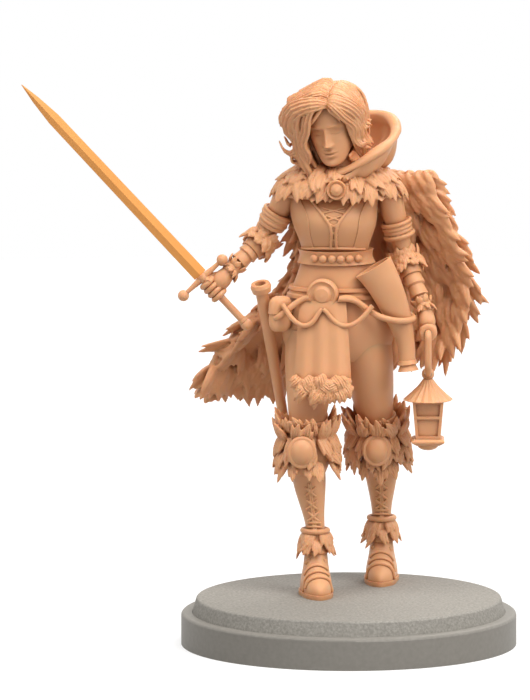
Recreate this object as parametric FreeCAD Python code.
import FreeCAD, Part
import math
import os
from collections import namedtuple

# A resin display miniature: a cloaked traveller with a sword and a lantern, glued up from
# separately printed pieces on a two-step round base. Millimetres and degrees.
# The part stands on z = 0 with the base's axis on z, faces -Y, and its right hand is towards -X.

V = FreeCAD.Vector
UP = V(0, 0, 1)

# Base
BASE_DIAMETER = 50.0
BASE_HEIGHT = 4.8
BASE_EDGE_ROUND = 0.5
INSERT_DIAMETER = 46.6
INSERT_RISE = 2.2
INSERT_SEAT = 0.8
INSERT_TAPER = 0.6
INSERT_EDGE_ROUND = 0.35

# Glue joints
GLUE_GAP = 0.05
PEG_RADIUS = 0.7
FOOT_PEG_LENGTH = 1.8
BODY_PEG_LENGTH = 1.6

# Heights of the figure above the insert
SOLE_THICKNESS = 0.7
INSTEP_HEIGHT = 3.6
ANKLE_HEIGHT = 8.6
CALF_HEIGHT = 16.0
KNEE_HEIGHT = 22.5
CROTCH_HEIGHT = 34.8
HIP_HEIGHT = 39.6
BELT_HEIGHT = 45.2
WAIST_HEIGHT = 50.5
BUST_HEIGHT = 56.3
SHOULDER_HEIGHT = 60.9
COLLAR_HEIGHT = 63.6
HEAD_CENTRE_HEIGHT = 70.6

# Body girths
WAIST_WIDTH = 10.0
WAIST_DEPTH = 7.3
HIP_WIDTH = 16.8
HIP_DEPTH = 10.6
BUST_WIDTH = 12.8
BUST_DEPTH = 9.6
SHOULDER_WIDTH = 13.4
SHOULDER_DEPTH = 7.0
NECK_WIDTH = 3.7
THIGH_WIDTH = 8.0
KNEE_WIDTH = 4.7
CALF_WIDTH = 5.0
ANKLE_WIDTH = 2.9
FOOT_WIDTH = 4.7
TOE_REACH = 6.9
HEEL_REACH = 3.0
HEAD_HEIGHT = 11.0
HEAD_WIDTH = 7.5
HEAD_DEPTH = 8.8
HAIR_THICKNESS = 0.9

# Stance: where the joints stand in plan, and how far each foot turns out
PELVIS = V(-1.6, 6.8, 0)
CHEST = V(-2.2, 6.5, 0)
NECK_BASE = V(-1.5, 7.1, 0)
HEAD_CENTRE = V(-2.5, 4.4, 0)
HEAD_YAW = -14.0
HEAD_NOD = 17.0
HEAD_TILT = -7.0
LegStance = namedtuple("LegStance", "hip knee calf ankle toe_out")
RIGHT_STANCE = LegStance(V(-5.5, 6.2, 0), V(-6.4, 2.9, 0), V(-5.8, 3.6, 0), V(-4.9, 3.3, 0), 5.0)
LEFT_STANCE = LegStance(V(2.5, 7.5, 0), V(4.3, 9.6, 0), V(4.9, 13.2, 0), V(5.0, 15.6, 0), -3.0)

# Arms
UPPER_ARM_WIDTH = 3.4
ELBOW_WIDTH = 2.8
FOREARM_WIDTH = 3.0
WRIST_WIDTH = 1.9
LAME_COUNT = 3
LAME_FLARE = 0.32
ARMBAND_HEIGHT = 2.6
ARMBAND_PROUD = 0.3
FINGER_RADIUS = 0.42
FINGER_COUNT = 4
ArmPose = namedtuple("ArmPose", "shoulder elbow wrist hand")
RIGHT_ARM = ArmPose(V(-8.9, 7.2, 60.0), V(-12.7, 8.7, 52.6), V(-17.7, 6.6, 48.2), V(-20.2, 6.0, 45.5))
LEFT_ARM = ArmPose(V(5.9, 7.4, 59.9), V(8.5, 8.6, 49.4), V(11.3, 5.2, 42.6), V(11.8, 4.0, 39.4))

# Fur
TUFT_FLARE = 1.15
TUFT_DROP = 0.9
CUFF_LENGTH = 8.6
CUFF_TUFTS = 13
CUFF_FULLNESS = 1.7
ANKLE_FRINGE_LENGTH = 3.4
ANKLE_FRINGE_TUFTS = 9
WRIST_CUFF_LENGTH = 1.5
WRIST_CUFF_TUFTS = 8
ELBOW_CUFF_LENGTH = 3.6
ELBOW_CUFF_TUFTS = 10
MANTLE_TUFTS = 22
MANTLE_REACH = 2.4
MANTLE_RISE = 0.4
CLOAK_THICKNESS = 0.9
CLOAK_TUFTS = 9
FRINGE_TUFTS = 8
FRINGE_LENGTH = 3.4

# Sword
BLADE_LENGTH = 39.0
BLADE_WIDTH = 2.2
BLADE_THICKNESS = 0.75
BLADE_POINT = 7.0
SWORD_LEAN = 43.0
GUARD_LENGTH = 9.6
GUARD_RADIUS = 0.55
GUARD_BALL = 0.85
GRIP_LENGTH = 9.4
GRIP_RADIUS = 0.55
POMMEL_RADIUS = 0.9
HAND_TO_GUARD = 2.3

# Lantern
LANTERN_BODY_HEIGHT = 6.0
LANTERN_TOP_WIDTH = 4.7
LANTERN_BOTTOM_WIDTH = 3.7
LANTERN_POST = 0.45
PANE_DEPTH = 0.4
ROOF_HEIGHT = 3.2
ROOF_DIAMETER = 7.2
ROOF_RIBS = 18
FINIAL_RADIUS = 0.95
HANDLE_LENGTH = 7.4
HANDLE_WIDTH = 5.0
HANDLE_WIRE = 0.5
HANDLE_CORNER = 0.8
TRAY_WIDTH = 4.9
TRAY_HEIGHT = 1.0
TRAY_DOME = 0.9

# Belt, straps and what hangs from them
BELT_WIDTH = 1.7
BELT_PROUD = 0.5
BELT_FRONT_TURN = 2.3
BUCKLE_DIAMETER = 4.8
BUCKLE_THICKNESS = 0.9
STRAP_RADIUS = 0.36
SWAG_DROP = 3.6
SLING_DROP = 3.4
SASH_WIDTH = 2.0
SASH_PROUD = 0.45
STUD_RADIUS = 0.62
STUD_COUNT = 6
TABARD_WIDTH = 8.6
TABARD_LENGTH = 12.6
TABARD_THICKNESS = 0.7
TABARD_GAP = 0.25
TABARD_LEAN = 1.9
HORN_MOUTH = 3.0
HORN_WALL = 0.45
SCABBARD_RADIUS = 0.95
SCABBARD_LENGTH = 25.0
POUCH_WIDTH = 3.6
POUCH_HEIGHT = 5.0
POUCH_DEPTH = 2.0
BROOCH_DIAMETER = 3.0
BROOCH_THICKNESS = 0.8

# Hood
HOOD_WALL = 0.8
HOOD_DIAMETER = 14.8
HOOD_RIM = 0.85

GROUND = BASE_HEIGHT + INSERT_RISE
RING_POINTS = 12
PIECES = {}


def piece(name, shape):
    """Keeps one printed piece under its name, facing outwards."""
    solids = shape.Solids
    shape = solids[0] if len(solids) == 1 else Part.makeCompound(solids)
    if shape.Volume < 0:
        shape.reverse()
    PIECES[name] = shape
    return shape


def cut_by(shape, cutters):
    """Cuts a piece by the neighbours that reach it and keeps the main solid."""
    near = [cutter for cutter in cutters if cutter.BoundBox.intersect(shape.BoundBox)]
    if near:
        shape = shape.cut(near)
    return max(shape.Solids, key=lambda solid: abs(solid.Volume))


def at(plan, height):
    """The point over a place in plan, at a height above the insert."""
    return V(plan.x, plan.y, GROUND + height)


def raised(point):
    return point + UP * GROUND


def mix(a, b, share):
    return a + (b - a) * share


def turned(vector, yaw):
    return FreeCAD.Rotation(UP, yaw).multVec(vector)


def unit(vector):
    return V(vector).normalize()


def closed_curve(points):
    curve = Part.BSplineCurve()
    curve.interpolate(Points=points, PeriodicFlag=True)
    return Part.Wire([curve.toShape()])


def closed_polygon(points):
    return Part.makePolygon(points + points[:1])


def outward(shape):
    if shape.Volume < 0:
        shape.reverse()
    return shape


def smooth_loft(rings):
    return outward(Part.makeLoft(rings, True, False))


def ruled_loft(rings):
    return outward(Part.makeLoft(rings, True, True))


def level_ring(centre, half_width, front, back, yaw=0.0):
    """A level egg-shaped outline: its own half width, and a front and a back depth."""
    points = []
    for i in range(RING_POINTS):
        angle = 2 * math.pi * i / RING_POINTS
        depth = front if math.sin(angle) > 0 else back
        local = V(half_width * math.cos(angle), -depth * math.sin(angle), 0)
        points.append(centre + turned(local, yaw))
    return closed_curve(points)


def across(normal):
    """Two directions square to a limb: sideways, and towards the back."""
    side = unit(V(0, 1, 0).cross(normal))
    return side, unit(normal.cross(side))


def cross_ring(centre, normal, half_width, half_depth):
    """An oval outline square to a limb."""
    side, depth = across(unit(normal))
    points = []
    for i in range(RING_POINTS):
        angle = 2 * math.pi * i / RING_POINTS
        points.append(centre + side * (half_width * math.cos(angle)) + depth * (half_depth * math.sin(angle)))
    return closed_curve(points)


def circle_wire(centre, normal, radius):
    return Part.Wire([Part.makeCircle(radius, centre, normal)])


def limb(path, radii, first_normal=None, last_normal=None):
    """A round limb lofted along its joints, with a radius at each."""
    rings = []
    for i, (centre, radius) in enumerate(zip(path, radii)):
        normal = path[min(i + 1, len(path) - 1)] - path[max(i - 1, 0)]
        if i == 0 and first_normal:
            normal = first_normal
        if i == len(path) - 1 and last_normal:
            normal = last_normal
        rings.append(cross_ring(centre, normal, radius, radius))
    return smooth_loft(rings)


def ball(centre, radius):
    return Part.makeSphere(radius, centre)


def rod(start, direction, length, radius):
    return Part.makeCylinder(radius, length, start, unit(direction))


def oval_ball(centre, half_x, half_y, half_z):
    """A ball stretched along the three axes."""
    matrix = FreeCAD.Matrix()
    matrix.scale(V(half_x, half_y, half_z))
    shape = Part.makeSphere(1.0).transformGeometry(matrix)
    shape.translate(centre)
    return shape


# Fur: saw-toothed rows of pointed tufts


def faceted_solid(rings):
    """A solid of flat triangles through rings of points, closed by a flat face at each end."""
    faces = [Part.Face(closed_polygon(ring)) for ring in (rings[0], rings[-1])]
    for upper, lower in zip(rings, rings[1:]):
        for i in range(len(upper)):
            j = (i + 1) % len(upper)
            a, b, c, d = upper[i], upper[j], lower[j], lower[i]
            if a.distanceToPoint(c) < b.distanceToPoint(d):
                triangles = [[a, b, c], [a, c, d]]
            else:
                triangles = [[a, b, d], [b, c, d]]
            faces += [Part.Face(closed_polygon(corners)) for corners in triangles]
    return outward(Part.Solid(Part.Shell(faces)))


def fur_rows(surface, levels, tufts, closed, flare=TUFT_FLARE, drop=TUFT_DROP, wall=0.0):
    """Rows of pointed tufts.

    surface(u, v, out) gives the point at u along a row, v down the rows and out from the skin.
    Each row runs from a root ring to a ring of points, then tucks back under to the next root.
    An open row is closed by a smooth lining, one wall behind the skin.
    """
    steps = 2 * tufts
    marks = [i / steps for i in range(steps if closed else steps + 1)]
    rings = []

    def ring(outer, lining_level):
        lining = [] if closed else [surface(u, lining_level, -wall) for u in reversed(marks)]
        rings.append(outer + lining)

    for row in range(len(levels) - 1):
        top, bottom = levels[row], levels[row + 1]
        span = bottom - top
        ring([surface(u, top, 0.0) for u in marks], top)
        teeth = []
        for i, u in enumerate(marks):
            is_tip = (i + row) % 2 == 0
            reach = bottom + drop * span * 0.3 if is_tip else top + span * 0.55
            teeth.append(surface(u, reach, flare if is_tip else flare * 0.35))
        ring(teeth, top + span * 0.9)
    ring([surface(u, levels[-1], 0.0) for u in marks], levels[-1])
    return faceted_solid(rings)


def fur_sleeve(start, direction, length, radius_top, radius_bottom, tufts, rows, flare, fullness=0.0):
    """A shaggy cuff round a limb, swelling between its ends."""
    axis = unit(direction)
    side, depth = across(axis)

    def surface(u, v, out):
        angle = 2 * math.pi * u
        radius = mix(radius_top, radius_bottom, v) + fullness * math.sin(math.pi * min(v, 1.0)) + out
        return start + axis * (length * v) + side * (radius * math.cos(angle)) + depth * (radius * math.sin(angle))

    return fur_rows(surface, [i / rows for i in range(rows + 1)], tufts, True, flare)


# Base


def make_base():
    radius = BASE_DIAMETER / 2
    pocket = INSERT_DIAMETER / 2 + GLUE_GAP
    rounding = BASE_EDGE_ROUND
    plinth = Part.makeCylinder(radius, BASE_HEIGHT)
    plinth = plinth.makeFillet(rounding, [plinth.Edges[0]])
    plinth = plinth.cut(Part.makeCylinder(pocket, INSERT_SEAT, V(0, 0, BASE_HEIGHT - INSERT_SEAT)))
    piece("base_plinth", plinth)

    floor = BASE_HEIGHT - INSERT_SEAT
    lower = Part.makeCylinder(INSERT_DIAMETER / 2, INSERT_SEAT, V(0, 0, floor))
    upper = Part.makeCone(
        INSERT_DIAMETER / 2, INSERT_DIAMETER / 2 - INSERT_TAPER, INSERT_RISE, V(0, 0, BASE_HEIGHT)
    )
    top_edge = max(upper.Edges, key=lambda edge: edge.BoundBox.ZMin)
    upper = upper.makeFillet(INSERT_EDGE_ROUND, [top_edge])
    insert = lower.fuse(upper).removeSplitter()
    for stance in (RIGHT_STANCE, LEFT_STANCE):
        socket = Part.makeCylinder(
            PEG_RADIUS + GLUE_GAP, FOOT_PEG_LENGTH + GLUE_GAP, at(stance.ankle, 0) - UP * (FOOT_PEG_LENGTH + GLUE_GAP)
        )
        insert = insert.cut(socket)
    piece("base_insert", insert)


# Legs and boots


def boot_sections(stance):
    """Level outlines of a boot from sole to knee: place, height, half width, front, back."""
    ankle_radius = ANKLE_WIDTH / 2
    calf_radius = CALF_WIDTH / 2
    knee_radius = KNEE_WIDTH / 2
    foot_half = FOOT_WIDTH / 2
    shin = mix(stance.calf, stance.ankle, 0.6)
    return [
        (stance.ankle, SOLE_THICKNESS, foot_half, TOE_REACH, HEEL_REACH),
        (stance.ankle, mix(SOLE_THICKNESS, INSTEP_HEIGHT, 0.5), foot_half * 0.97, TOE_REACH * 0.9, HEEL_REACH),
        (stance.ankle, INSTEP_HEIGHT, foot_half * 0.85, TOE_REACH * 0.58, HEEL_REACH * 0.93),
        (stance.ankle, mix(INSTEP_HEIGHT, ANKLE_HEIGHT, 0.35), ankle_radius * 1.22, TOE_REACH * 0.33, HEEL_REACH * 0.8),
        (stance.ankle, ANKLE_HEIGHT, ankle_radius, ankle_radius * 1.15, ankle_radius * 1.2),
        (shin, mix(ANKLE_HEIGHT, CALF_HEIGHT, 0.45), ankle_radius * 1.12, ankle_radius * 1.2, ankle_radius * 1.45),
        (stance.calf, CALF_HEIGHT, calf_radius * 0.94, calf_radius * 0.9, calf_radius * 1.12),
        (mix(stance.calf, stance.knee, 0.6), mix(CALF_HEIGHT, KNEE_HEIGHT, 0.6), calf_radius, calf_radius, calf_radius),
        (stance.knee, KNEE_HEIGHT, knee_radius, knee_radius, knee_radius),
    ]


def leg_sections(stance):
    """Level outlines of a leg from knee to hip: place, height, half width, depth."""
    knee_radius = KNEE_WIDTH / 2
    thigh_radius = THIGH_WIDTH / 2
    return [
        (stance.knee, KNEE_HEIGHT, knee_radius, knee_radius),
        (mix(stance.knee, stance.hip, 0.22), mix(KNEE_HEIGHT, CROTCH_HEIGHT, 0.3), knee_radius * 1.17, knee_radius * 1.2),
        (mix(stance.knee, stance.hip, 0.6), mix(KNEE_HEIGHT, CROTCH_HEIGHT, 0.68), thigh_radius * 0.87, thigh_radius * 0.92),
        (mix(stance.knee, stance.hip, 0.95), CROTCH_HEIGHT, thigh_radius, thigh_radius * 1.05),
        (stance.hip, HIP_HEIGHT, thigh_radius * 0.9, thigh_radius),
    ]


def make_boot(side, stance):
    yaw = stance.toe_out
    foot_half = FOOT_WIDTH / 2
    welt = 0.25
    sole = [(foot_half + welt, TOE_REACH + welt, HEEL_REACH + welt)] * 2
    sole_heights = [0.0, SOLE_THICKNESS]
    sole_solid = smooth_loft(
        [level_ring(at(stance.ankle, h), w, f, b, yaw) for h, (w, f, b) in zip(sole_heights, sole)]
    )
    upper = smooth_loft([level_ring(at(plan, h), w, f, b, yaw) for plan, h, w, f, b in boot_sections(stance)])
    peg = rod(at(stance.ankle, 0), -UP, FOOT_PEG_LENGTH, PEG_RADIUS)
    boot = upper.fuse([sole_solid, peg])
    return piece(side + "_boot", boot)


def make_leg(side, stance, hips):
    leg = smooth_loft([level_ring(at(plan, h), w, d, d) for plan, h, w, d in leg_sections(stance)])
    return piece(side + "_leg", leg.cut(hips))


def make_boot_cuff(side, stance):
    """The shaggy cuff that turns down over the top of a boot, bored to slip over the knee."""
    over_knee = 0.45
    top = at(mix(stance.knee, stance.hip, 0.1), KNEE_HEIGHT + CUFF_LENGTH * over_knee)
    bottom = at(mix(stance.knee, stance.calf, 0.6), KNEE_HEIGHT + CUFF_LENGTH * (over_knee - 1))
    cuff = fur_sleeve(
        top, bottom - top, CUFF_LENGTH, KNEE_WIDTH / 2 + 0.9, CALF_WIDTH / 2 + 0.3, CUFF_TUFTS, 3,
        TUFT_FLARE * 0.75, CUFF_FULLNESS,
    )
    boot = [level_ring(at(plan, h), w + GLUE_GAP, f + GLUE_GAP, b + GLUE_GAP, stance.toe_out)
            for plan, h, w, f, b in boot_sections(stance)[-4:]]
    leg = [level_ring(at(plan, h), w + GLUE_GAP, d + GLUE_GAP, d + GLUE_GAP) for plan, h, w, d in leg_sections(stance)[1:4]]
    return piece(side + "_boot_cuff", cut_by(cuff, [smooth_loft(boot + leg)]))


def make_ankle_fringe(side, stance, boot):
    top = at(mix(stance.ankle, stance.calf, 0.15), ANKLE_HEIGHT + 0.7)
    bottom = at(stance.ankle, ANKLE_HEIGHT + 0.7 - ANKLE_FRINGE_LENGTH)
    fringe = fur_sleeve(
        top, bottom - top, ANKLE_FRINGE_LENGTH, ANKLE_WIDTH / 2 + 0.5, ANKLE_WIDTH / 2 + 0.9, ANKLE_FRINGE_TUFTS, 2,
        TUFT_FLARE * 0.7,
    )
    piece(side + "_ankle_fringe", cut_by(fringe, [boot]))


# Trunk


def body_sections():
    """Level outlines of the trunk from the crotch to the neck: place, height, half width, front, back."""
    waist = mix(PELVIS, CHEST, 0.5)
    hip_half, waist_half, bust_half = HIP_WIDTH / 2, WAIST_WIDTH / 2, BUST_WIDTH / 2
    shoulder_half, neck_half = SHOULDER_WIDTH / 2, NECK_WIDTH / 2
    return [
        (PELVIS, CROTCH_HEIGHT, hip_half * 0.7, HIP_DEPTH * 0.3, HIP_DEPTH * 0.33),
        (PELVIS, mix(CROTCH_HEIGHT, HIP_HEIGHT, 0.4), hip_half * 0.93, HIP_DEPTH * 0.41, HIP_DEPTH * 0.48),
        (PELVIS, HIP_HEIGHT, hip_half, HIP_DEPTH * 0.46, HIP_DEPTH * 0.54),
        (PELVIS, BELT_HEIGHT, mix(hip_half, waist_half, 0.4), HIP_DEPTH * 0.42, HIP_DEPTH * 0.46),
        (waist, WAIST_HEIGHT, waist_half, WAIST_DEPTH * 0.5, WAIST_DEPTH * 0.5),
        (mix(waist, CHEST, 0.6), mix(WAIST_HEIGHT, BUST_HEIGHT, 0.5), mix(waist_half, bust_half, 0.4),
         BUST_DEPTH * 0.46, BUST_DEPTH * 0.41),
        (CHEST, BUST_HEIGHT, bust_half, BUST_DEPTH * 0.57, BUST_DEPTH * 0.43),
        (CHEST, mix(BUST_HEIGHT, SHOULDER_HEIGHT, 0.58), mix(bust_half, shoulder_half, 0.8),
         SHOULDER_DEPTH * 0.6, SHOULDER_DEPTH * 0.58),
        (mix(CHEST, NECK_BASE, 0.6), SHOULDER_HEIGHT, shoulder_half * 0.97, SHOULDER_DEPTH * 0.43, SHOULDER_DEPTH * 0.5),
        (NECK_BASE, mix(SHOULDER_HEIGHT, COLLAR_HEIGHT, 0.6), neck_half * 1.9, SHOULDER_DEPTH * 0.34, SHOULDER_DEPTH * 0.4),
        (NECK_BASE, COLLAR_HEIGHT, neck_half * 1.3, neck_half * 1.15, neck_half * 1.2),
    ]


WAIST_SECTION = 4


def body_outline(height, grow):
    """The trunk's place, half width, front and back at a height, grown outwards."""
    sections = body_sections()
    for low, high in zip(sections, sections[1:]):
        if low[1] <= height <= high[1]:
            share = (height - low[1]) / (high[1] - low[1])
            plan, half, front, back = (mix(low[i], high[i], share) for i in (0, 2, 3, 4))
            return plan, half + grow, front + grow, back + grow
    raise ValueError("height is off the trunk")


def body_ring(height, grow):
    plan, half, front, back = body_outline(height, grow)
    return level_ring(at(plan, height), half, front, back)


def front_of_body(x, height, grow):
    """The point in front of the trunk at x, a little off its skin."""
    plan, half, front, _ = body_outline(height, grow)
    across_share = max(-0.98, min(0.98, (x - plan.x) / half))
    return V(x, plan.y - front * math.sqrt(1 - across_share**2), GROUND + height)


def make_trunk():
    rings = [level_ring(at(plan, h), w, f, b) for plan, h, w, f, b in body_sections()]
    hips = smooth_loft(rings[: WAIST_SECTION + 1])
    torso = smooth_loft(rings[WAIST_SECTION:])
    return hips, torso


# Arms


def arm_mitre(pose):
    return unit(unit(pose.elbow - pose.shoulder) + unit(pose.wrist - pose.elbow))


def make_arm(side, pose, torso, grip_axis, grip_radius, held):
    """Upper arm with its band and shoulder peg, forearm in lames, shaggy elbow cuff and closed hand."""
    shoulder, elbow, wrist, hand = (raised(point) for point in pose)
    upper_direction = unit(elbow - shoulder)
    fore_direction = unit(wrist - elbow)
    mitre = arm_mitre(pose)
    upper_radius, elbow_radius = UPPER_ARM_WIDTH / 2, ELBOW_WIDTH / 2
    wrist_radius, fore_radius = WRIST_WIDTH / 2, FOREARM_WIDTH / 2

    path = [mix(shoulder, elbow, share) for share in (-0.13, -0.06, 0.06, 0.25, 0.55, 0.8, 1.0)]
    swell = [0.5, 0.88, 1.1, 1.08, 0.92]
    radii = [upper_radius * size for size in swell] + [elbow_radius, elbow_radius]
    upper = limb(path, radii, last_normal=mitre)
    band_start = mix(shoulder, elbow, 0.42)
    band_radius = upper_radius + ARMBAND_PROUD
    ribs = [0.0, 0.16, 0.32, 0.42, 0.58, 0.68, 0.84, 1.0]
    rib_out = [0.0, 0.12, 0.0, -0.14, -0.14, 0.0, 0.12, 0.0]
    band = ruled_loft(
        [
            circle_wire(band_start + upper_direction * (ARMBAND_HEIGHT * share), upper_direction, band_radius + out)
            for share, out in zip(ribs, rib_out)
        ]
    )
    upper = cut_by(upper.fuse(band), [torso])
    peg_root = mix(shoulder, elbow, 0.1)
    inward = unit(at(CHEST, pose.shoulder.z) - peg_root)
    peg_length = upper_radius + BODY_PEG_LENGTH
    peg = rod(peg_root, inward, peg_length, PEG_RADIUS)
    socket = rod(peg_root, inward, peg_length + GLUE_GAP, PEG_RADIUS + GLUE_GAP)
    piece(side + "_upper_arm", upper.fuse(peg))

    rings = [cross_ring(elbow, mitre, elbow_radius, elbow_radius)]
    sleeve_start = 0.3
    for lame in range(LAME_COUNT):
        share = sleeve_start + (1 - sleeve_start) * lame / LAME_COUNT
        end_share = sleeve_start + (1 - sleeve_start) * (lame + 1) / LAME_COUNT
        for where, flare in ((share, 0.0), (end_share - 0.03, LAME_FLARE)):
            radius = mix(fore_radius, wrist_radius, where) + flare
            rings.append(cross_ring(mix(elbow, wrist, where), fore_direction, radius, radius))
    rings.append(cross_ring(wrist, fore_direction, wrist_radius, wrist_radius))
    forearm = piece(side + "_forearm", ruled_loft(rings))

    cuff_start = elbow - fore_direction * (ELBOW_CUFF_LENGTH * 0.25)
    cuff = fur_sleeve(
        cuff_start, fore_direction, ELBOW_CUFF_LENGTH, elbow_radius + 0.35, fore_radius + 0.3, ELBOW_CUFF_TUFTS, 2, 0.7
    )
    piece(side + "_elbow_cuff", cut_by(cuff, [PIECES[side + "_upper_arm"], forearm]))
    make_hand(side, wrist, fore_direction, hand, grip_axis, grip_radius, held)
    wrist_cuff = fur_sleeve(
        wrist - fore_direction * (WRIST_CUFF_LENGTH * 0.6), fore_direction, WRIST_CUFF_LENGTH, wrist_radius + 0.45,
        wrist_radius + 0.25, WRIST_CUFF_TUFTS, 1, TUFT_FLARE * 0.5,
    )
    piece(side + "_wrist_cuff", cut_by(wrist_cuff, [forearm, PIECES[side + "_hand"]]))
    return socket


def make_hand(side, wrist, fore_direction, hand, grip_axis, grip_radius, held):
    """A fist: a palm, four curled fingers and a thumb, cut to fit round what it holds."""
    wrist_radius = WRIST_WIDTH / 2
    axis = unit(grip_axis)
    reach = unit(hand - wrist)
    valley = grip_radius + FINGER_RADIUS
    crest = grip_radius + 2 * FINGER_RADIUS
    pitch = 2 * FINGER_RADIUS

    def profile_point(radius, along):
        return V(radius, 0, along)

    low, high = -2 * pitch, 2 * pitch
    edges = [Part.LineSegment(profile_point(0, low), profile_point(valley, low)).toShape()]
    for finger in range(FINGER_COUNT):
        start = low + finger * pitch
        points = [profile_point(valley, start), profile_point(crest, start + pitch / 2), profile_point(valley, start + pitch)]
        edges.append(Part.Arc(*points).toShape())
    edges.append(Part.LineSegment(profile_point(valley, high), profile_point(0, high)).toShape())
    edges.append(Part.LineSegment(profile_point(0, high), profile_point(0, low)).toShape())
    fingers = outward(Part.Face(Part.Wire(edges)).revolve(V(0, 0, 0), UP, 360))
    fingers.Placement = FreeCAD.Placement(hand, FreeCAD.Rotation(UP, axis))

    palm_end = hand - reach * grip_radius
    path = [mix(wrist, palm_end, share) for share in (0.0, 0.35, 0.75, 1.0)]
    palm = limb(path, [wrist_radius, crest * 0.92, crest * 0.98, crest * 0.7], first_normal=fore_direction)
    thumb_side = unit(axis.cross(reach))
    thumb_path = [mix(wrist, hand, 0.45) + axis * (pitch * 1.1), hand + axis * (pitch * 1.9) - reach * (crest * 0.5),
                  hand + axis * (pitch * 1.7) + thumb_side * (crest * 0.9)]
    thumb = limb(thumb_path, [FINGER_RADIUS * 1.1, FINGER_RADIUS * 1.2, FINGER_RADIUS])
    piece(side + "_hand", cut_by(palm.fuse([fingers, thumb]), [held]))


# Head, hair and hood


def head_placement():
    turn = (
        FreeCAD.Rotation(UP, HEAD_YAW)
        .multiply(FreeCAD.Rotation(V(1, 0, 0), HEAD_NOD))
        .multiply(FreeCAD.Rotation(V(0, 1, 0), HEAD_TILT))
    )
    return FreeCAD.Placement(at(HEAD_CENTRE, HEAD_CENTRE_HEIGHT), turn)


def head_sections():
    """Level outlines of the head in its own frame: set back, height, half width, front, back."""
    half, front, back, tall = HEAD_WIDTH / 2, HEAD_DEPTH * 0.47, HEAD_DEPTH * 0.53, HEAD_HEIGHT
    return [
        (-front * 0.72, -0.48, half * 0.24, front * 0.22, back * 0.2),
        (-front * 0.58, -0.42, half * 0.46, front * 0.46, back * 0.42),
        (-front * 0.34, -0.31, half * 0.68, front * 0.7, back * 0.6),
        (-front * 0.17, -0.18, half * 0.84, front * 0.85, back * 0.78),
        (-front * 0.02, -0.03, half * 0.95, front * 0.95, back * 0.94),
        (0.0, 0.13, half, front, back * 1.02),
        (front * 0.05, 0.29, half * 0.95, front * 0.94, back * 0.98),
        (front * 0.1, 0.42, half * 0.74, front * 0.74, back * 0.78),
        (front * 0.12, 0.5, half * 0.36, front * 0.36, back * 0.38),
    ]


def make_head(torso):
    front, half, tall = HEAD_DEPTH * 0.47, HEAD_WIDTH / 2, HEAD_HEIGHT
    skull = smooth_loft(
        [level_ring(V(0, set_back, share * tall), w, f, b) for set_back, share, w, f, b in head_sections()]
    )
    nose_root = V(0, -front * 0.93, 0.06 * tall)
    nose_tip = V(0, -front * 1.12, -0.13 * tall)
    nose = limb([nose_root, mix(nose_root, nose_tip, 0.55), nose_tip], [0.34, 0.48, 0.62], last_normal=V(0, 0.25, -1))
    ears = [oval_ball(V(sign * half * 0.96, 0.3, -0.03 * tall), 0.45, 0.75, 1.05) for sign in (-1, 1)]
    sockets = [oval_ball(V(sign * half * 0.43, -front * 1.05, 0.045 * tall), 0.75, 0.55, 0.5) for sign in (-1, 1)]
    head = skull.cut(sockets).fuse([nose] + ears)
    head.Placement = head_placement()

    neck_half = NECK_WIDTH / 2
    collar = at(NECK_BASE, COLLAR_HEIGHT)
    jaw = at(HEAD_CENTRE, HEAD_CENTRE_HEIGHT) + V(0.3, 1.6, -0.22 * tall)
    neck = limb([collar, mix(collar, jaw, 0.5), jaw], [neck_half, neck_half * 0.92, neck_half], first_normal=UP)
    peg = rod(collar, -UP, BODY_PEG_LENGTH, PEG_RADIUS)
    piece("head", head.fuse([neck, peg]))
    return rod(collar, -UP, BODY_PEG_LENGTH + GLUE_GAP, PEG_RADIUS + GLUE_GAP)


def make_hair():
    """Layered hair to the jaw, open over the face."""
    half, front, back, tall = HEAD_WIDTH / 2, HEAD_DEPTH * 0.47, HEAD_DEPTH * 0.53, HEAD_HEIGHT
    crown, hem = 0.6 * tall, -0.4 * tall

    def surface(u, v, out):
        angle = 2 * math.pi * u
        height = mix(crown, hem, v)
        dome = math.sin(math.pi / 2 * min(1.0, 0.32 + v * 1.15)) + 0.12 * v
        depth = front if math.sin(angle) > 0 else back
        wide = (half + HAIR_THICKNESS) * dome + out
        deep = (depth + HAIR_THICKNESS) * dome + out
        return V(wide * math.cos(angle), 0.35 - deep * math.sin(angle), height)

    hair = fur_rows(surface, [0.0, 0.36, 0.7, 1.0], 11, True, 0.5, 1.1)
    window = oval_ball(V(0, -front * 1.25, -0.2 * tall), half * 0.74, front * 1.05, tall * 0.43)
    under = oval_ball(V(0, 0.3, -0.42 * tall), half * 1.02, front * 1.08, tall * 0.3)
    hair = hair.cut([window, under])
    hair.Placement = head_placement()
    piece("hair", cut_by(hair, [PIECES["head"]]))


def make_hood():
    """The hood lies open round the neck, its rolled rim low in front and high behind."""
    collar = at(NECK_BASE, COLLAR_HEIGHT)
    rim_normal = unit(V(-0.42, -0.55, 1))
    rim_centre = collar + V(1.9, 1.3, 3.2)
    edge_centre = rim_centre - rim_normal * HOOD_RIM
    base_centre = collar + V(0.3, 0.4, MANTLE_RISE)
    half = HOOD_DIAMETER / 2

    def shell(inset, ends):
        middle = mix(base_centre, edge_centre, 0.4)
        return smooth_loft(
            [
                cross_ring(base_centre - UP * ends, UP, half * 0.62 - inset, half * 0.54 - inset),
                cross_ring(middle, unit(UP * 2 + rim_normal), half * 0.87 - inset, half * 0.82 - inset),
                cross_ring(edge_centre + rim_normal * ends, rim_normal, half - inset, half - inset),
            ]
        )

    piece("hood", shell(0.0, 0.0).cut(shell(HOOD_WALL, HOOD_WALL)))
    piece("hood_rim", Part.makeTorus(half - HOOD_WALL / 2, HOOD_RIM, rim_centre, rim_normal))


# Cloak and mantle


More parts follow.
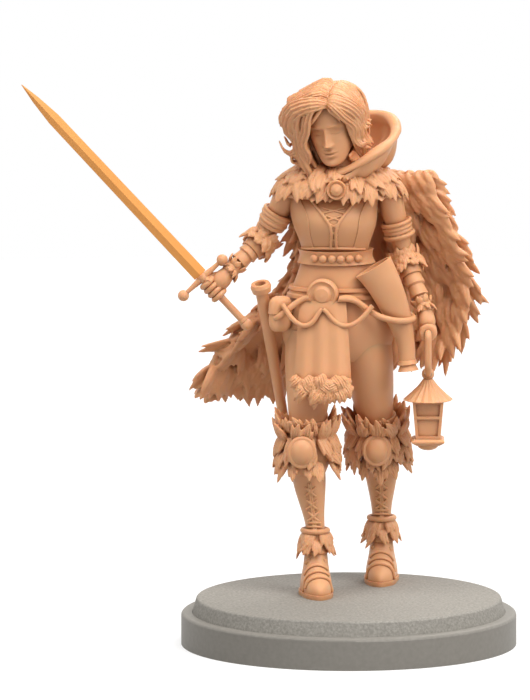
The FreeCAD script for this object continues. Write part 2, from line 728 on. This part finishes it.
CloakLevel = namedtuple("CloakLevel", "right_x right_z left_x left_z edge_y bulge")
CLOAK_LEVELS = [
    CloakLevel(-6.0, 61.0, 11.2, 61.6, 10.4, 2.4),
    CloakLevel(-6.8, 56.4, 12.8, 57.8, 10.7, 3.4),
    CloakLevel(-6.8, 51.4, 14.2, 53.4, 11.0, 4.4),
    CloakLevel(-8.2, 46.2, 16.4, 48.8, 11.4, 5.4),
    CloakLevel(-13.6, 40.6, 17.2, 43.8, 11.8, 6.4),
    CloakLevel(-19.2, 35.0, 15.8, 39.2, 12.4, 7.2),
    CloakLevel(-21.6, 29.4, 13.2, 35.2, 13.2, 7.8),
]
CLOAK_FOLD = 0.7


def cloak_point(u, v, out):
    """A point of the cloak: u from its right edge to its left, v down the levels, out from the skin."""
    place = v * (len(CLOAK_LEVELS) - 1)
    index = min(int(place), len(CLOAK_LEVELS) - 2)
    share = place - index
    low, high = CLOAK_LEVELS[index], CLOAK_LEVELS[index + 1]
    right_x, right_z, left_x, left_z, edge_y, bulge = (mix(a, b, share) for a, b in zip(low, high))

    def skin(along):
        fold = CLOAK_FOLD * v * math.sin(5 * math.pi * along)
        return V(mix(right_x, left_x, along), edge_y + bulge * math.sin(math.pi * along) + fold, 0)

    step = 0.01
    tangent = skin(min(1.0, u + step)) - skin(max(0.0, u - step))
    normal = unit(V(-tangent.y, tangent.x, 0))
    point = skin(u) + normal * out
    slope = (left_z - right_z) / (left_x - right_x)
    point.z = GROUND + right_z + (point.x - right_x) * slope
    return point


def make_cloak(cutters):
    levels = [i / (len(CLOAK_LEVELS) - 1) for i in range(len(CLOAK_LEVELS))]
    cloak = fur_rows(cloak_point, levels, CLOAK_TUFTS, False, TUFT_FLARE, TUFT_DROP, CLOAK_THICKNESS)
    return piece("cloak", cut_by(cloak, cutters))


def make_mantle(cutters):
    """The fur collar that lies over both shoulders."""
    centre = at(NECK_BASE, 0)
    top, hem = COLLAR_HEIGHT + MANTLE_RISE, SHOULDER_HEIGHT - 1.4
    inner, outer = NECK_WIDTH * 0.95, SHOULDER_WIDTH / 2 + MANTLE_REACH
    inner_depth, outer_depth = NECK_WIDTH * 0.9, SHOULDER_DEPTH / 2 + MANTLE_REACH

    def surface(u, v, out):
        angle = 2 * math.pi * u
        ease = math.sin(math.pi / 2 * min(v, 1.0))
        wide = mix(inner, outer, ease) + out
        deep = mix(inner_depth, outer_depth, ease) + out
        height = mix(top, hem, v**1.4)
        return centre + V(wide * math.cos(angle), -deep * math.sin(angle), height)

    mantle = fur_rows(surface, [0.0, 0.45, 0.8, 1.0], MANTLE_TUFTS, True, 0.7, 1.0)
    return piece("fur_mantle", cut_by(mantle, cutters))


# Sword and scabbard


def sword_axis():
    lean = math.radians(SWORD_LEAN)
    return V(-math.sin(lean), 0.02, math.cos(lean)).normalize()


def make_sword():
    axis = sword_axis()
    hand = raised(RIGHT_ARM.hand)
    guard_centre = hand + axis * HAND_TO_GUARD
    flat = unit(V(0, 1, 0).cross(axis))
    thin = unit(axis.cross(flat))

    def diamond(share, width):
        centre = guard_centre + axis * (GUARD_RADIUS + share)
        half, thick = width / 2, BLADE_THICKNESS / 2 * min(1.0, width / BLADE_WIDTH * 1.5)
        return closed_polygon([centre + flat * half, centre + thin * thick, centre - flat * half, centre - thin * thick])

    tip_width = 0.12
    blade = ruled_loft(
        [
            diamond(0.0, BLADE_WIDTH),
            diamond(BLADE_LENGTH - BLADE_POINT, BLADE_WIDTH * 0.86),
            diamond(BLADE_LENGTH - BLADE_POINT * 0.45, BLADE_WIDTH * 0.52),
            diamond(BLADE_LENGTH, tip_width),
        ]
    )
    piece("sword_blade", blade)

    half_guard = GUARD_LENGTH / 2 - GUARD_BALL
    stations = [-1.0, -0.75, -0.3, 0.0, 0.3, 0.75, 1.0]
    swell = [0.62, 0.6, 0.85, 1.0, 0.85, 0.6, 0.62]
    quillon = limb([guard_centre + flat * (half_guard * s) for s in stations], [GUARD_RADIUS * s for s in swell])
    ends = [ball(guard_centre + flat * (half_guard * sign), GUARD_BALL) for sign in (-1, 1)]
    collar_start = guard_centre - axis * (GUARD_RADIUS + 0.15)
    collar = rod(collar_start, axis, 2 * GUARD_RADIUS + 0.15, GUARD_RADIUS * 1.35)
    guard = quillon.fuse(ends + [collar])
    socket = rod(collar_start - axis, axis, 1 + GUARD_RADIUS, GRIP_RADIUS + GLUE_GAP)
    piece("sword_guard", cut_by(guard, [blade, socket]))

    grip_top = collar_start + axis * (GUARD_RADIUS - GLUE_GAP)
    grip = rod(grip_top - axis * GRIP_LENGTH, axis, GRIP_LENGTH, GRIP_RADIUS)
    pommel_centre = grip_top - axis * GRIP_LENGTH
    pommel = ball(pommel_centre, POMMEL_RADIUS)
    neck_ring = rod(pommel_centre + axis * POMMEL_RADIUS * 0.7, axis, 0.5, GRIP_RADIUS * 1.3)
    piece("sword_grip", grip.fuse([pommel, neck_ring]))


def make_scabbard(cutters):
    """A round scabbard hung at the right hip, with a ringed mouth and a capped tip."""
    mouth = V(-13.2, 4.2, GROUND + 46.6)
    axis = unit(V(0.165, 0.27, -1))
    rings, stations = [], [0.0, 0.02, 0.055, 0.06, 0.5, 0.92, 0.925, 0.985, 1.0]
    swell = [1.45, 1.65, 1.45, 1.0, 0.9, 0.78, 0.95, 0.9, 0.4]
    for station, size in zip(stations, swell):
        rings.append(circle_wire(mouth + axis * (SCABBARD_LENGTH * station), axis, SCABBARD_RADIUS * size))
    scabbard = ruled_loft(rings)
    scabbard = scabbard.cut(rod(mouth - axis * 0.1, axis, 1.6, SCABBARD_RADIUS * 0.85))
    piece("scabbard", cut_by(scabbard, cutters))


# Lantern


def finial_place():
    return raised(LEFT_ARM.hand) - UP * (HANDLE_LENGTH - 2 * HANDLE_WIRE)


def handle_loop(radius):
    """The lantern's wire loop, edge on to the front: a straight top bar over a round foot."""
    top, half, corner = raised(LEFT_ARM.hand), HANDLE_WIDTH / 2, HANDLE_CORNER
    along, turn = V(0, 1, 0), V(1, 0, 0)
    foot = finial_place() + UP * half
    bar = half - corner
    shapes = []
    for sign in (-1, 1):
        bend_start = Part.Face(circle_wire(top + along * (sign * bar), along, radius))
        bend = bend_start.revolve(top + along * (sign * bar) - UP * corner, turn, -90 * sign)
        shapes.append(outward(bend))
        leg_top = top + along * (sign * half) - UP * corner
        shapes.append(rod(leg_top, -UP, leg_top.z - foot.z, radius))
    foot_start = Part.Face(circle_wire(foot + along * half, UP, radius))
    shapes.append(outward(foot_start.revolve(foot, turn, -180)))
    return rod(top - along * bar, along, 2 * bar, radius).fuse(shapes).removeSplitter()


def make_lantern():
    hand = raised(LEFT_ARM.hand)
    finial_centre = finial_place()
    roof_top = finial_centre.z - FINIAL_RADIUS * 0.8
    eave_z = roof_top - ROOF_HEIGHT
    body_top = eave_z + 0.35
    body_bottom = body_top - LANTERN_BODY_HEIGHT
    plan = V(hand.x, hand.y, 0)

    def square(width, z):
        half = width / 2
        return closed_polygon([plan + V(x * half, y * half, z) for x, y in ((-1, -1), (1, -1), (1, 1), (-1, 1))])

    piece("lantern_handle", handle_loop(HANDLE_WIRE))

    # Roof: ribbed and flared, with a ball finial that the handle passes through
    def star(radius, z, rib):
        points = []
        for i in range(2 * ROOF_RIBS):
            angle = math.pi * i / ROOF_RIBS
            size = radius + (rib if i % 2 == 0 else -rib)
            points.append(plan + V(size * math.cos(angle), size * math.sin(angle), z))
        return closed_polygon(points)

    eave = ROOF_DIAMETER / 2
    roof = ruled_loft(
        [
            star(eave * 0.94, eave_z, 0.02),
            star(eave, eave_z + 0.12, 0.16),
            star(eave * 0.7, mix(eave_z, roof_top, 0.34), 0.12),
            star(eave * 0.4, mix(eave_z, roof_top, 0.68), 0.07),
            star(eave * 0.2, roof_top, 0.02),
        ]
    )
    roof = roof.fuse(ball(finial_centre, FINIAL_RADIUS))
    body = ruled_loft([square(LANTERN_TOP_WIDTH, body_top), square(LANTERN_BOTTOM_WIDTH, body_bottom)])
    piece("lantern_roof", cut_by(roof, [handle_loop(HANDLE_WIRE + GLUE_GAP), body]))

    # Body: four corner posts round sunk panes with a cross bar
    core = ruled_loft(
        [
            square(LANTERN_TOP_WIDTH - 2 * PANE_DEPTH, body_top),
            square(LANTERN_BOTTOM_WIDTH - 2 * PANE_DEPTH, body_bottom),
        ]
    )
    middle = mix(body_bottom, eave_z, 0.58)
    windows = []
    for low, high in ((body_bottom + LANTERN_POST, middle - LANTERN_POST / 2), (middle + LANTERN_POST / 2, eave_z - 0.3)):
        share_low = (low - body_bottom) / LANTERN_BODY_HEIGHT
        share_high = (high - body_bottom) / LANTERN_BODY_HEIGHT
        wide_low = mix(LANTERN_BOTTOM_WIDTH, LANTERN_TOP_WIDTH, share_low) - 2 * LANTERN_POST
        wide_high = mix(LANTERN_BOTTOM_WIDTH, LANTERN_TOP_WIDTH, share_high) - 2 * LANTERN_POST
        reach = LANTERN_TOP_WIDTH
        for turn in (0, 90):
            outline = [V(-wide_low / 2, -reach, low), V(wide_low / 2, -reach, low),
                       V(wide_high / 2, -reach, high), V(-wide_high / 2, -reach, high)]
            prism = Part.Face(closed_polygon(outline)).extrude(V(0, 2 * reach, 0))
            prism.rotate(V(0, 0, 0), UP, turn)
            prism.translate(plan)
            windows.append(prism)
    panes = [window.cut(core) for window in windows]
    piece("lantern_body", body.cut(panes))

    # Tray: a stepped square foot over a shallow dome
    half_tray = TRAY_HEIGHT / 2
    tray = ruled_loft(
        [
            square(TRAY_WIDTH * 0.86, body_bottom),
            square(TRAY_WIDTH, body_bottom - half_tray * 0.6),
            square(TRAY_WIDTH, body_bottom - half_tray),
            square(TRAY_WIDTH * 0.7, body_bottom - TRAY_HEIGHT),
        ]
    )
    dome = oval_ball(plan + UP * (body_bottom - TRAY_HEIGHT), TRAY_WIDTH * 0.33, TRAY_WIDTH * 0.33, TRAY_DOME)
    piece("lantern_tray", tray.fuse(dome))


# Belt, tabard and hip gear


def belt_front(height, grow):
    """Where the buckle sits on the trunk, and how far it turns to face away from it."""
    plan, half, front, _ = body_outline(height, grow)
    share = BELT_FRONT_TURN / half
    turn = math.degrees(math.atan2(share / half, math.sqrt(1 - share**2) / front))
    return front_of_body(plan.x - BELT_FRONT_TURN, height, grow), -turn


def make_belt(hips):
    low, high = BELT_HEIGHT - BELT_WIDTH / 2, BELT_HEIGHT + BELT_WIDTH / 2
    groove = BELT_PROUD * 0.45
    profile = [(0.0, BELT_PROUD), (0.3, BELT_PROUD), (0.45, groove), (0.55, groove), (0.7, BELT_PROUD), (1.0, BELT_PROUD)]
    belt = ruled_loft([body_ring(mix(low, high, share), grow) for share, grow in profile])
    belt = piece("belt", belt.cut(hips))

    centre, turn = belt_front(BELT_HEIGHT, BELT_PROUD)
    radius = BUCKLE_DIAMETER / 2
    profile = [(radius, 0.0), (radius, 0.45), (radius * 0.86, 0.8), (radius * 0.72, 0.55), (radius * 0.6, 0.55),
               (radius * 0.42, 1.0), (0.0, 1.15)]
    points = [V(0, BELT_PROUD, 0), V(radius, BELT_PROUD, 0)]
    points += [V(r, -BUCKLE_THICKNESS * t, 0) for r, t in profile]
    buckle = outward(Part.Face(closed_polygon(points)).revolve(V(0, 0, 0), V(0, 1, 0), 360))
    buckle.rotate(V(0, 0, 0), UP, turn)
    buckle.translate(centre)
    piece("belt_buckle", cut_by(buckle, [belt, hips]))
    return belt


def make_sash(cutters):
    """A studded band round the waist, over the seam between hips and torso."""
    low, high = WAIST_HEIGHT - SASH_WIDTH / 2, WAIST_HEIGHT + SASH_WIDTH / 2
    sash = smooth_loft([body_ring(height, SASH_PROUD) for height in (low, WAIST_HEIGHT, high)])
    plan, _, _, _ = body_outline(WAIST_HEIGHT, 0)
    studs = []
    for i in range(STUD_COUNT):
        x = plan.x + (i - (STUD_COUNT - 1) / 2) * STUD_RADIUS * 2.1
        studs.append(ball(front_of_body(x, WAIST_HEIGHT, SASH_PROUD), STUD_RADIUS))
    piece("waist_sash", cut_by(sash.fuse(studs), cutters))


def make_slings(cutters):
    """Two straps that slant from the belt to the hips and carry the horn and the pouch."""
    lean = TABARD_GAP + TABARD_THICKNESS + STRAP_RADIUS
    front = [front_of_body(x, BELT_HEIGHT, lean).y for x in (-5.8, -1.6, 2.4)]
    right = [V(-5.8, front[0], BELT_HEIGHT - 0.5), V(-8.4, front[0] + 0.5, BELT_HEIGHT - SLING_DROP * 0.5),
             V(-10.6, 2.3, BELT_HEIGHT - SLING_DROP), V(-11.4, 4.2, BELT_HEIGHT - SLING_DROP)]
    left = [V(-1.6, front[1], BELT_HEIGHT - 0.5), V(2.4, front[2] - 0.2, BELT_HEIGHT - SLING_DROP * 0.55),
            V(5.6, 0.55, BELT_HEIGHT - SLING_DROP), V(8.0, 0.75, BELT_HEIGHT - SLING_DROP * 1.1),
            V(9.4, 2.4, BELT_HEIGHT - SLING_DROP * 1.1), V(9.2, 4.6, BELT_HEIGHT - SLING_DROP)]
    slings = []
    for path in (right, left):
        path = [raised(point) for point in path]
        slings.append(cut_by(limb(path, [STRAP_RADIUS * 1.3] * len(path)), cutters))
    return piece("belt_slings", Part.makeCompound(slings))


def make_swags(cutters):
    """Two round straps that hang in loops from the buckle to the slings."""
    start, _ = belt_front(BELT_HEIGHT - BUCKLE_DIAMETER * 0.42, TABARD_GAP + TABARD_THICKNESS + STRAP_RADIUS + 0.45)
    low = V(0, 0, -SWAG_DROP)
    swags = []
    for reach, back in ((-6.0, 1.2), (7.4, -0.2)):
        path = []
        for share in (0.0, 0.2, 0.45, 0.7, 0.9, 1.0):
            sag = math.sin(math.pi * share) * 0.75
            path.append(start + V(reach * share, back * share**2 - 0.25 * math.sin(math.pi * share), 0.6 * share) + low * sag)
        swags.append(cut_by(limb(path, [STRAP_RADIUS] * len(path)), cutters))
    return piece("belt_swags", Part.makeCompound(swags))


def tabard_front(x, height, grow):
    """The tabard's skin: flat against the belt, leaning forward over the thighs towards its hem."""
    hem = BELT_HEIGHT - BELT_WIDTH / 2 - TABARD_LENGTH
    down = (BELT_HEIGHT - height) / (BELT_HEIGHT - hem)
    point = front_of_body(x, max(height, HIP_HEIGHT), TABARD_GAP + grow)
    return V(x, point.y - TABARD_LEAN * down, GROUND + height)


def tabard_ring(height, half_width, wave):
    """A level slice of the hanging cloth, with its folds."""
    middle = PELVIS.x - BELT_FRONT_TURN
    front, back = [], []
    count = 11
    for i in range(count):
        share = 2 * i / (count - 1) - 1
        fold = wave * (1 + math.cos(3.2 * math.pi * share + 0.6))
        x = middle + half_width * share
        front.append(tabard_front(x, height, TABARD_THICKNESS + fold))
        back.append(tabard_front(x, height, fold))
    edges = []
    for run in (front, list(reversed(back))):
        curve = Part.BSplineCurve()
        curve.interpolate(Points=run)
        edges.append(curve.toShape())
    left = Part.LineSegment(front[-1], back[-1]).toShape()
    right = Part.LineSegment(back[0], front[0]).toShape()
    return Part.Wire([edges[0], left, edges[1], right])


def make_tabard(cutters, legs):
    top = BELT_HEIGHT - BELT_WIDTH / 2
    hem = top - TABARD_LENGTH
    half = TABARD_WIDTH / 2
    tabard = smooth_loft(
        [
            tabard_ring(top, half * 0.8, 0.04),
            tabard_ring(mix(top, hem, 0.35), half * 0.88, 0.12),
            tabard_ring(mix(top, hem, 0.7), half * 0.95, 0.2),
            tabard_ring(hem, half, 0.25),
        ]
    )
    tabard = piece("tabard", cut_by(tabard, cutters))

    middle = PELVIS.x - BELT_FRONT_TURN
    slope = TABARD_LEAN / TABARD_LENGTH

    def surface(u, v, out):
        x = middle + (half + 0.4) * (2 * u - 1)
        drop = FRINGE_LENGTH * v
        point = tabard_front(x, hem + FRINGE_LENGTH * 0.5, TABARD_THICKNESS + 0.45)
        return point + V(0, -out - slope * drop, -drop)

    fringe = fur_rows(surface, [0.0, 0.45, 1.0], FRINGE_TUFTS, False, TUFT_FLARE * 0.65, 1.3, TABARD_THICKNESS + 0.7)
    piece("tabard_fringe", cut_by(fringe, [tabard] + legs))


def make_horn(cutters):
    """A drinking horn at the left hip, mouth up."""
    path = [V(3.6, 2.2, 49.4), V(5.4, 2.3, 46.4), V(7.2, 2.6, 42.2), V(8.3, 2.8, 38.6), V(8.7, 2.6, 35.0)]
    path = [raised(point) for point in path]
    wide = [1.0, 0.84, 0.66, 0.48, 0.42]
    deep = [0.6, 0.56, 0.5, 0.44, 0.4]

    def tube(inset, count):
        rings = []
        for i in range(count):
            normal = path[min(i + 1, len(path) - 1)] - path[max(i - 1, 0)]
            rings.append(
                cross_ring(path[i], normal, HORN_MOUTH * wide[i] - inset, HORN_MOUTH * deep[i] - inset)
            )
        return smooth_loft(rings)

    horn = tube(0.0, len(path)).cut(tube(HORN_WALL, 3))
    end = path[-1]
    axis = unit(path[-1] - path[-2])
    radius = HORN_MOUTH * 0.42
    cap = ruled_loft(
        [
            circle_wire(end - axis * 0.3, axis, radius * 1.05),
            circle_wire(end + axis * 0.3, axis, radius * 1.2),
            circle_wire(end + axis * 0.5, axis, radius * 0.95),
            circle_wire(end + axis * 1.3, axis, radius * 1.25),
        ]
    )
    piece("hip_horn", cut_by(horn.fuse(cap), cutters))


def make_pouch(cutters):
    """A soft pouch with a flap, on the right hip."""
    centre = V(PELVIS.x - HIP_WIDTH / 2 - 0.2, 3.6, GROUND + BELT_HEIGHT - 3.2)
    half_w, half_d, half_h = POUCH_WIDTH / 2, POUCH_DEPTH / 2, POUCH_HEIGHT / 2
    sizes = [(-1.0, 0.55), (-0.8, 0.9), (-0.2, 1.05), (0.5, 0.92), (1.0, 0.62)]
    pouch = smooth_loft(
        [level_ring(centre + UP * (half_h * h), half_w * s, half_d * s, half_d * s, 28) for h, s in sizes]
    )
    flap_sizes = [(0.1, 1.12), (0.6, 1.05), (1.02, 0.75), (1.1, 0.5)]
    flap = smooth_loft(
        [level_ring(centre + UP * (half_h * h), half_w * s, half_d * s + 0.1, half_d * s, 28) for h, s in flap_sizes]
    )
    piece("hip_pouch", cut_by(pouch.fuse(flap), cutters))


def make_brooch(cutters):
    """The round clasp that closes the cloak on the chest."""
    height = SHOULDER_HEIGHT + 0.3
    face = front_of_body(NECK_BASE.x - 0.4, mix(BUST_HEIGHT, SHOULDER_HEIGHT, 0.75), 2.2)
    centre = V(face.x, face.y, GROUND + height)
    radius = BROOCH_DIAMETER / 2
    profile = [(radius, 0.2), (radius * 0.9, 1.0), (radius * 0.66, 0.75), (radius * 0.5, 1.3), (0.0, 1.7)]
    points = [V(0, 1.6, 0), V(radius * 0.6, 1.6, 0)] + [V(r, -BROOCH_THICKNESS * t, 0) for r, t in profile]
    brooch = outward(Part.Face(closed_polygon(points)).revolve(V(0, 0, 0), V(0, 1, 0), 360))
    brooch.translate(centre)
    piece("brooch", cut_by(brooch, cutters))


def main():
    make_base()
    hips, torso = make_trunk()
    for side, stance in (("right", RIGHT_STANCE), ("left", LEFT_STANCE)):
        boot = make_boot(side, stance)
        make_leg(side, stance, hips)
        make_boot_cuff(side, stance)
        make_ankle_fringe(side, stance, boot)
    legs = [PIECES["right_leg"], PIECES["left_leg"]]
    piece("hips", hips)
    grip = rod(raised(RIGHT_ARM.hand) - sword_axis() * 6, sword_axis(), 12, GRIP_RADIUS + GLUE_GAP)
    sockets = [
        make_arm("right", RIGHT_ARM, torso, sword_axis(), GRIP_RADIUS, grip),
        make_arm("left", LEFT_ARM, torso, V(0, 1, 0), HANDLE_WIRE, handle_loop(HANDLE_WIRE + GLUE_GAP)),
        make_head(torso),
    ]
    piece("torso", torso.cut(sockets))
    make_hair()
    arms = [PIECES[side + "_upper_arm"] for side in ("right", "left")]
    cloak = make_cloak([torso] + arms)
    make_hood()
    make_mantle([torso] + arms + [cloak, PIECES["head"]])
    make_sword()
    make_lantern()
    belt = make_belt(hips)
    make_sash([hips, torso])
    make_tabard([hips, belt, PIECES["belt_buckle"]], legs)
    slings = make_slings([hips, belt, PIECES["belt_buckle"], PIECES["tabard"]])
    swags = make_swags([PIECES["belt_buckle"], PIECES["tabard"], slings])
    make_horn([hips, belt, slings, swags])
    make_pouch([hips, belt, slings, swags])
    make_scabbard([hips, belt, PIECES["hip_pouch"], slings])
    make_brooch([torso, PIECES["fur_mantle"]])

    os.makedirs("parts", exist_ok=True)
    for name, shape in PIECES.items():
        shape.exportStep(os.path.join("parts", name + ".step"))
        print(f"{name}: {len(shape.Solids)} solid, {len(shape.Faces)} faces, {shape.Volume:.1f} mm3, {shape.isValid()}")


main()
